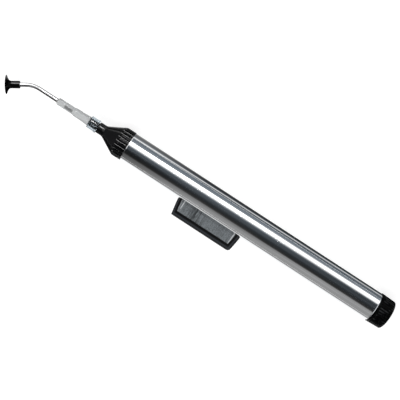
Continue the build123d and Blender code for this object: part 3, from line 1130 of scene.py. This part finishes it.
class PEN_OT_needle(PieceOperator, bpy.types.Operator):
    """Builds the bent steel needle"""

    bl_idname = "pen.needle"
    bl_label = "Needle"

    def execute(self, context):
        size, finishes = self.settings(context)
        bend_x = (BEND_POINT - TUBE_FRONT).dot(TAILWARD) / MM
        reach = size.bend_radius * tan(BEND_ANGLE / 2)
        held = -size.nose_shoulder - HUB_GAP - size.hub_length + NEEDLE_HOLD
        bm = bmesh.new()
        bmesh.ops.create_circle(
            bm,
            segments=64,
            radius=size.needle_radius,
            matrix=Matrix.Translation((held, 0, 0)) @ Matrix.Rotation(pi / 2, 4, "Y"),
        )
        ring = self.run_on(bm, bm.edges[:], Vector((bend_x + reach - held, 0, 0)))
        bent = bmesh.ops.spin(
            bm,
            geom=ring,
            cent=(bend_x + reach, 0, size.bend_radius),
            axis=(0, 1, 0),
            angle=BEND_ANGLE,
            steps=24,
        )
        edges = [item for item in bent["geom_last"] if isinstance(item, bmesh.types.BMEdge)]
        way = Vector((-cos(BEND_ANGLE), 0, sin(BEND_ANGLE)))
        self.run_on(bm, edges, way * (NEEDLE_TIP - reach))
        bmesh.ops.remove_doubles(bm, verts=bm.verts, dist=SAME_PLACE)
        bmesh.ops.recalc_face_normals(bm, faces=bm.faces)
        bmesh.ops.solidify(bm, geom=bm.faces[:], thickness=size.needle_wall)
        bmesh.ops.recalc_face_normals(bm, faces=bm.faces)
        needle = as_object("bent_needle", bm, NEEDLE)
        dress(needle, "needle", "needle_steel", [bright_steel(finishes)], "needle_tube")
        return {"FINISHED"}

    def run_on(self, bm, edges, step):
        """Draws a ring of edges on along a straight step, and returns the new ring."""
        drawn = bmesh.ops.extrude_edge_only(bm, edges=edges)["geom"]
        verts = [item for item in drawn if isinstance(item, bmesh.types.BMVert)]
        bmesh.ops.translate(bm, vec=step, verts=verts)
        edges = [item for item in drawn if isinstance(item, bmesh.types.BMEdge)]
        return verts + [edge for edge in edges if all(vert in verts for vert in edge.verts)]


class PEN_OT_cup(PieceOperator, bpy.types.Operator):
    """Builds the rubber suction cup"""

    bl_idname = "pen.cup"
    bl_label = "Suction cup"

    def execute(self, context):
        size, finishes = self.settings(context)
        total_length, bowl_depth, lip_width = 7.0, 1.3, 0.25
        face = face_distance / MM
        start = face - total_length
        seat = NEEDLE_TIP + 0.05
        throat = size.needle_radius - size.needle_wall
        fit = size.needle_radius + FIT_GAP
        bowl_floor = face - bowl_depth
        bm = turned(
            [
                (bowl_floor, throat),
                (seat, throat),
                (seat, fit),
                (start, fit, 0.08),
                (start, size.sleeve_radius, 0.18),
                (face - 2.05, size.sleeve_radius, 0.5),
                (face - 1.25, 2.5, 0.5),
                (face - 0.35, 4.1, 0.5),
                (face, size.cup_radius, 0.06),
                (face, size.cup_radius - lip_width, 0.05),
                (face - 0.55, 2.95, 0.7),
                (bowl_floor, 1.5, 0.3),
            ],
            steps=128,
            divide=(start, face, 0.3),
        )
        cup = as_object("rubber_cup", bm, CUP, sharp=50)
        strip_angle, strip_half, strip_end = 1.26, 0.26, face - 2.6
        rubber = moulded_rubber(
            "cup_rubber",
            finishes.rubber,
            0.2,
            CUP,
            gloss=0.06,
            polished=(strip_angle, strip_half, strip_end),
        )
        dress(cup, "cup", "cup_rubber", [rubber], "suction_cup")
        return {"FINISHED"}


class PEN_OT_bulb(PieceOperator, bpy.types.Operator):
    """Builds the squeeze bulb in two pieces, a neck and a body with a mesh of its own"""

    bl_idname = "pen.bulb"
    bl_label = "Squeeze bulb"

    def execute(self, context):
        size, finishes = self.settings(context)
        rubber = moulded_rubber("bulb_rubber", finishes.bulb, 0.55, PEN, bloom=0.03)
        fit = BARB_RADIUS + FIT_GAP
        mouth = 2.25
        neck = turned(
            [
                (BARB_START, BULB_NECK_RADIUS, 0.2),
                (BULB_NECK_END, BULB_NECK_RADIUS),
                (BULB_NECK_END, mouth),
                (BARB_END, fit),
                (BARB_RIDGE - FIT_GAP, RIDGE_RADIUS + FIT_GAP),
                (BARB_RIDGE - FIT_GAP, fit),
                (BARB_START, fit),
            ],
            steps=64,
        )
        neck = as_object("bulb_neck", neck, PEN)
        dress(neck, "barrel", "bulb_rubber", [rubber], "squeeze_bulb")
        wall = 1.2
        shoulder, end = 25, 86.2
        body = turned(
            [
                (end, 0),
                (end, BULB_RADIUS, 4.15),
                (shoulder, BULB_RADIUS, 2.0),
                (BULB_NECK_END, BULB_NECK_RADIUS),
                (BULB_NECK_END, mouth),
                (shoulder, BULB_RADIUS - wall, 1.5),
                (end - wall, BULB_RADIUS - wall, 2.95),
                (end - wall, 0),
            ],
            steps=96,
            closed=False,
        )
        body = as_object("bulb_body", body, PEN)
        dress(body, "barrel", "bulb_rubber", [rubber])
        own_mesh(body)
        return {"FINISHED"}


class PEN_OT_inner_parts(PieceOperator, bpy.types.Operator):
    """Finishes the parts inside the barrel: tray, carrier, band and seal rings"""

    bl_idname = "pen.inner_parts"
    bl_label = "Inner parts"

    def execute(self, context):
        finishes = context.scene.pen_finishes
        give_finish("bulb_collar", crimped_band(finishes))
        plastic = natural_plastic(finishes)
        for node in ("cradle_tray", "push_carrier"):
            give_finish(node, plastic)
        seal = moulded_rubber("seal_rubber", finishes.seal, 0.35, PEN)
        for node in ("nose_seal", "cap_seal"):
            give_finish(node, seal)
        return {"FINISHED"}


# Studio

# A ramp's stops are (place, level) or (place, level, tint). This is the tint of the cool greys.
COOL = (0.87, 1.0, 1.14)

# What gloss sees round the pen, by degrees from straight up towards the button's side.
SKY_BANDS = (
    (-90, 0.18, COOL),
    (-80, 0.20, COOL),
    (-71, 0.24, COOL),
    (-62, 0.27, COOL),
    (-58, 0.48),
    (-56, 0.90),
    (-54, 1.25),
    (-28.5, 1.25),
    (-26, 0.85),
    (-23, 0.50),
    (-19.5, 0.24, COOL),
    (-16, 0.135, COOL),
    (-9, 0.088, COOL),
    (-2, 0.088, COOL),
    (5.5, 0.072, COOL),
    (13, 0.04, COOL),
    (20, 0.028, COOL),
    (36, 0.028),
    (42, 0.045),
    (46, 0.09),
    (50, 0.21),
    (54, 0.25),
    (60, 0.24),
    (69, 0.31),
    (79, 0.34),
    (94, 0.35),
)
SKY_LAMP = ((-52, 0.0), (-49, 1.0), (-39, 1.0), (-36, 0.0))

# Where the bands are darker or paler at one end of the pen.
NOSE_SHADE = ((0, 0.0), (10, 1.0), (95, 1.0))
TAIL_SHADE = ((-25, 0.0), (-21, 1.0), (0, 1.0), (8, 0.0))
TAIL_LIFT = ((43, 0.0), (51, 1.0), (66, 1.0), (80, 0.0))

# How many degrees the bands turn for each unit that gloss looks along the pen, where they start,
# and how far along they go on turning.
SKY_SKEW = 62
SKY_START = 1.7
SKY_SKEW_END = 0.3

# What the needle and the cup's sleeve see, and what the needle's last run sees.
NEEDLE_BANDS = ((-104, 0.06), (-98, 1.05), (10, 1.05), (17, 0.05))
SLEEVE_LAMP = ((-54, 0.0), (-48, 1.0), (-26, 1.0), (-22, 0.0))
BENT_RUN = ((28, 0.0), (40, 1.0), (120, 1.0), (130, 0.0))

# How the room is split along the pen, by the x of the direction that gloss looks in.
NOSE_SHADED = (-0.06, 0.0)
TAIL_SHADED = (0.10, 0.22)
TAIL_LIFTED = (0.08, 0.16)
LAMP_ENDS = (-0.08, 0.12)
CAP_LAMP_STARTS = (0.225, 0.245)
NEEDLE_STARTS = (-0.15, -0.125)
SLEEVE_STARTS = (-0.57, -0.54)
SLEEVE_ENDS = (-0.34, -0.31)
BENT_STARTS = (0.25, 0.29)
BENT_ENDS = (0.40, 0.45)

# The plain room beyond the bands, at the nose's end and at the tail's.
NOSE_ROOM = (-0.63, -0.57)
NOSE_ROOM_COLOUR = (0.20, 0.205, 0.21)
TAIL_ROOM = (0.30, 0.36)
TAIL_ROOM_COLOUR = (0.85, 0.87, 0.90)
BENT_COLOUR = (0.03, 0.03, 0.03)

# What the barrel sees on the floor, by degrees that it looks down.
FAR_BANDS = (
    (0, 0.15, COOL),
    (5, 0.13, COOL),
    (13, 0.14, COOL),
    (17, 0.34),
    (20, 1.0),
    (23, 1.0),
    (26, 0.36),
    (30, 0.14, COOL),
    (38, 0.06, COOL),
    (50, 0.03, COOL),
    (62, 0.04),
    (75, 0.15),
    (89, 0.6),
)
NEAR_BANDS = ((0, 0.34), (6.4, 0.34), (12, 0.36), (16, 0.44), (18.5, 1.0))
DARK = ((0, 0.03), (90, 0.03))

# The cards that make them: name, side, ends along the pen from the tube's front, ends out from its
# axis, bands, how far the bands drift along the card, and how much paler it is at the nose.
CARDS = (
    ("far_card", 1, (-0.03, 0.5), (0.0085, 0.4), FAR_BANDS, 0.18, 0.13),
    ("near_card", -1, (-0.03, 0.5), (0.036, 0.4), NEAR_BANDS, 0.0, -0.1),
    ("far_dark_card", 1, (-0.25, -0.03), (0.003, 0.06), DARK, 0.0, 0.0),
    ("near_dark_card", -1, (-0.25, -0.03), (0.003, 0.4), DARK, 0.0, 0.0),
    ("nose_dark_card", -1, (-0.03, -0.003), (0.003, 0.036), DARK, 0.0, 0.0),
)
CARD_HEIGHT = 0.0005

# Where the barrel looks at the cards from: out from its axis, and up from them.
LOOKS_FROM = (0.0068, 0.011)

LAMP_PLACE = (-0.25, -0.55, 0.95)
LAMP_SIZE = 0.7


class PEN_OT_studio(PieceOperator, bpy.types.Operator):
    """Sets up the pale floor, the soft light and the camera"""

    bl_idname = "pen.studio"
    bl_label = "Studio"

    def execute(self, context):
        studio = context.scene.pen_studio
        self.floor(studio)
        self.sky(context.scene, studio)
        for card in CARDS:
            self.card(*card)
        self.lamp(studio)
        self.camera(context.scene, studio)
        return {"FINISHED"}

    def seen_white(self, finish):
        """One where the camera, a reflection or a clear piece looks straight at this."""
        path = finish.node("LightPath").outputs
        seen = finish.math("MAXIMUM", path["Is Camera Ray"], path["Is Glossy Ray"])
        return finish.math("MAXIMUM", seen, path["Is Transmission Ray"])

    def floor(self, studio):
        """A floor that looks white and keeps the pen's shadow."""
        bm = bmesh.new()
        bmesh.ops.create_grid(bm, x_segments=1, y_segments=1, size=3.0)
        plane = as_object("floor", bm, Matrix.Identity(4))
        finish = Finish("pale_floor")
        finish.set(
            Base_Color=(0.5, 0.5, 0.5),
            Roughness=1.0,
            Specular_IOR_Level=0.0,
            Emission_Color=(1, 1, 1),
            Emission_Strength=finish.product(self.seen_white(finish), studio.floor_lift),
        )
        plane.data.materials.append(finish.material)

    def sky(self, scene, studio):
        """An even light for matt surfaces, and bands of light and dark for gloss."""
        scene.world = bpy.data.worlds.new("soft_studio")
        scene.world.use_nodes = True
        nodes = Nodes(scene.world.node_tree)
        path = nodes.node("LightPath").outputs
        white = nodes.math("MAXIMUM", path["Is Camera Ray"], path["Is Transmission Ray"])
        even = (studio.fill, studio.fill, studio.fill)
        soft = nodes.between(path["Is Glossy Ray"], even, self.gloss(nodes))
        background = nodes.tree.nodes["Background"]
        nodes.feed(background.inputs["Color"], nodes.between(white, soft, (1, 1, 1)))
        nodes.feed(background.inputs["Strength"], 1.0)

    def gloss(self, nodes):
        """What gloss sees of the room."""
        along, y, z = nodes.axes(nodes.coordinates("Generated"))
        degree = nodes.degrees(nodes.product(y, -1.0), z)
        most = SKY_SKEW * SKY_SKEW_END
        turn = nodes.ranged(along, -SKY_SKEW_END, SKY_SKEW_END, SKY_START - most, SKY_START + most)
        skewed = nodes.sum(degree, turn)

        def ring(angle, stops):
            return nodes.ramp(angle, -180, 180, stops)

        lift = nodes.ranged(along, *TAIL_LIFTED, 0.0, 0.10)
        barrel = nodes.tinted(ring(skewed, SKY_BANDS), ring(skewed, TAIL_LIFT), lift)
        for stops, zone, start, end in (
            (NOSE_SHADE, NOSE_SHADED, 0.55, 0.0),
            (TAIL_SHADE, TAIL_SHADED, 0.0, 0.45),
        ):
            dim = nodes.product(ring(skewed, stops), nodes.ranged(along, *zone, start, end))
            barrel = nodes.between(dim, barrel, (0.0, 0.0, 0.0))
        gain = nodes.sum(
            nodes.ranged(along, *LAMP_ENDS, 24.0, 0.5), nodes.ranged(along, *CAP_LAMP_STARTS, 0.0, 3.0)
        )
        barrel = nodes.tinted(barrel, ring(skewed, SKY_LAMP), gain)
        sleeve = nodes.product(nodes.within(along, SLEEVE_STARTS, SLEEVE_ENDS), 3.0)
        needle = nodes.tinted(ring(degree, NEEDLE_BANDS), ring(degree, SLEEVE_LAMP), sleeve)
        seen = nodes.between(nodes.ranged(along, *NEEDLE_STARTS), needle, barrel)
        seen = nodes.between(nodes.ranged(along, *NOSE_ROOM), NOSE_ROOM_COLOUR, seen)
        seen = nodes.between(nodes.ranged(along, *TAIL_ROOM), seen, TAIL_ROOM_COLOUR)
        bent = nodes.product(nodes.within(along, BENT_STARTS, BENT_ENDS), ring(degree, BENT_RUN))
        return nodes.between(bent, seen, BENT_COLOUR)

    def card(self, name, side, along, out, bands, skew, lift):
        """A card on the floor that only gloss sees, toned by how steeply the barrel looks at it."""
        bm = bmesh.new()
        bmesh.ops.create_grid(bm, x_segments=1, y_segments=1, size=0.5)
        bmesh.ops.scale(bm, vec=(along[1] - along[0], out[1] - out[0], 1), verts=bm.verts)
        middle = TUBE_FRONT + Vector((sum(along) / 2, side * sum(out) / 2, 0))
        bmesh.ops.translate(bm, vec=(middle.x, middle.y, CARD_HEIGHT), verts=bm.verts)
        card = as_object(name, bm, Matrix.Identity(4))
        finish = Finish(name)
        x, y, _ = finish.axes(finish.coordinates())
        looks_out, looks_up = LOOKS_FROM
        beyond = finish.sum(finish.product(y, side), -side * TUBE_FRONT.y - looks_out)
        drift = finish.ranged(x, TUBE_FRONT.x, TUBE_FRONT.x + 0.16, -80 * skew, 80 * skew)
        steep = finish.math("SUBTRACT", finish.degrees(looks_up, beyond), drift)
        lifted = finish.ranged(x, TUBE_FRONT.x + 0.005, TUBE_FRONT.x + 0.045, lift, 0.0)
        finish.set(
            Base_Color=(0, 0, 0),
            Roughness=1.0,
            Specular_IOR_Level=0.0,
            Emission_Color=finish.tinted(finish.ramp(steep, 0, 90, bands), (1.0, 1.0, 1.0), lifted),
            Emission_Strength=1.0,
        )
        card.data.materials.append(finish.material)
        for seen_by in ("camera", "diffuse", "shadow", "transmission"):
            setattr(card, "visible_" + seen_by, False)

    def lamp(self, studio):
        """A soft lamp over the button's side, which gloss doesn't see."""
        light = bpy.data.lights.new("key_lamp", "AREA")
        light.shape = "SQUARE"
        light.size = LAMP_SIZE
        light.energy = studio.key
        lamp = bpy.data.objects.new("key_lamp", light)
        lamp.location = LAMP_PLACE
        lamp.rotation_euler = (-lamp.location).to_track_quat("-Z", "Y").to_euler()
        lamp.visible_glossy = False
        bpy.context.scene.collection.objects.link(lamp)

    def camera(self, scene, studio):
        """A camera a little towards the nose, with its lens shifted back to the target."""
        above = Vector((0, sin(studio.lean), cos(studio.lean)))
        level = cos(studio.swing) * TAILWARD + sin(studio.swing) * above
        back = cos(studio.swing) * above - sin(studio.swing) * TAILWARD
        down_side = back.cross(level)
        right = cos(studio.turn) * level + sin(studio.turn) * down_side
        up = back.cross(right)
        target = TUBE_FRONT + Vector(studio.aim)
        place = target + above * studio.distance - TAILWARD * studio.side_step
        data = bpy.data.cameras.new("camera")
        data.sensor_fit = "HORIZONTAL"
        data.sensor_width = 36
        data.lens = 18 / tan(studio.field / 2)
        view = (target - place) / ((place - target).dot(back) * 2 * tan(studio.field / 2))
        data.shift_x = view.dot(right)
        data.shift_y = view.dot(up)
        camera = bpy.data.objects.new("camera", data)
        turn = Matrix((right, up, back)).transposed().to_4x4()
        camera.matrix_world = Matrix.Translation(place) @ turn
        scene.collection.objects.link(camera)
        scene.camera = camera
        scene.view_settings.view_transform = "Standard"


class PEN_PT_panel(bpy.types.Panel):
    """Lists the pen's pieces and settings in the sidebar"""

    bl_idname = "PEN_PT_panel"
    bl_label = "Pick Up Pen"
    bl_space_type = "VIEW_3D"
    bl_region_type = "UI"
    bl_category = "Pick Up Pen"

    def draw(self, context):
        layout = self.layout
        for operator in OPERATORS:
            layout.operator(operator.bl_idname)
        for group in ("pen_sizes", "pen_finishes", "pen_studio"):
            settings = getattr(context.scene, group)
            box = layout.box()
            for name in type(settings).__annotations__:
                box.prop(settings, name)


GROUPS = {"pen_sizes": PenSizes, "pen_finishes": PenFinishes, "pen_studio": StudioSettings}
OPERATORS = (
    PEN_OT_barrel,
    PEN_OT_nose,
    PEN_OT_tail_cap,
    PEN_OT_button,
    PEN_OT_hub,
    PEN_OT_needle,
    PEN_OT_cup,
    PEN_OT_bulb,
    PEN_OT_inner_parts,
    PEN_OT_studio,
)


def register():
    for item in (*GROUPS.values(), *OPERATORS, PEN_PT_panel):
        bpy.utils.register_class(item)
    for name, group in GROUPS.items():
        setattr(bpy.types.Scene, name, PointerProperty(type=group))


def unregister():
    for name in GROUPS:
        delattr(bpy.types.Scene, name)
    for item in (PEN_PT_panel, *reversed(OPERATORS), *reversed(GROUPS.values())):
        bpy.utils.unregister_class(item)


def main():
    """Registers the add-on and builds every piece."""
    register()
    for operator in OPERATORS:
        getattr(bpy.ops.pen, operator.bl_idname.split(".")[1])()


if __name__ == "__main__":
    main()
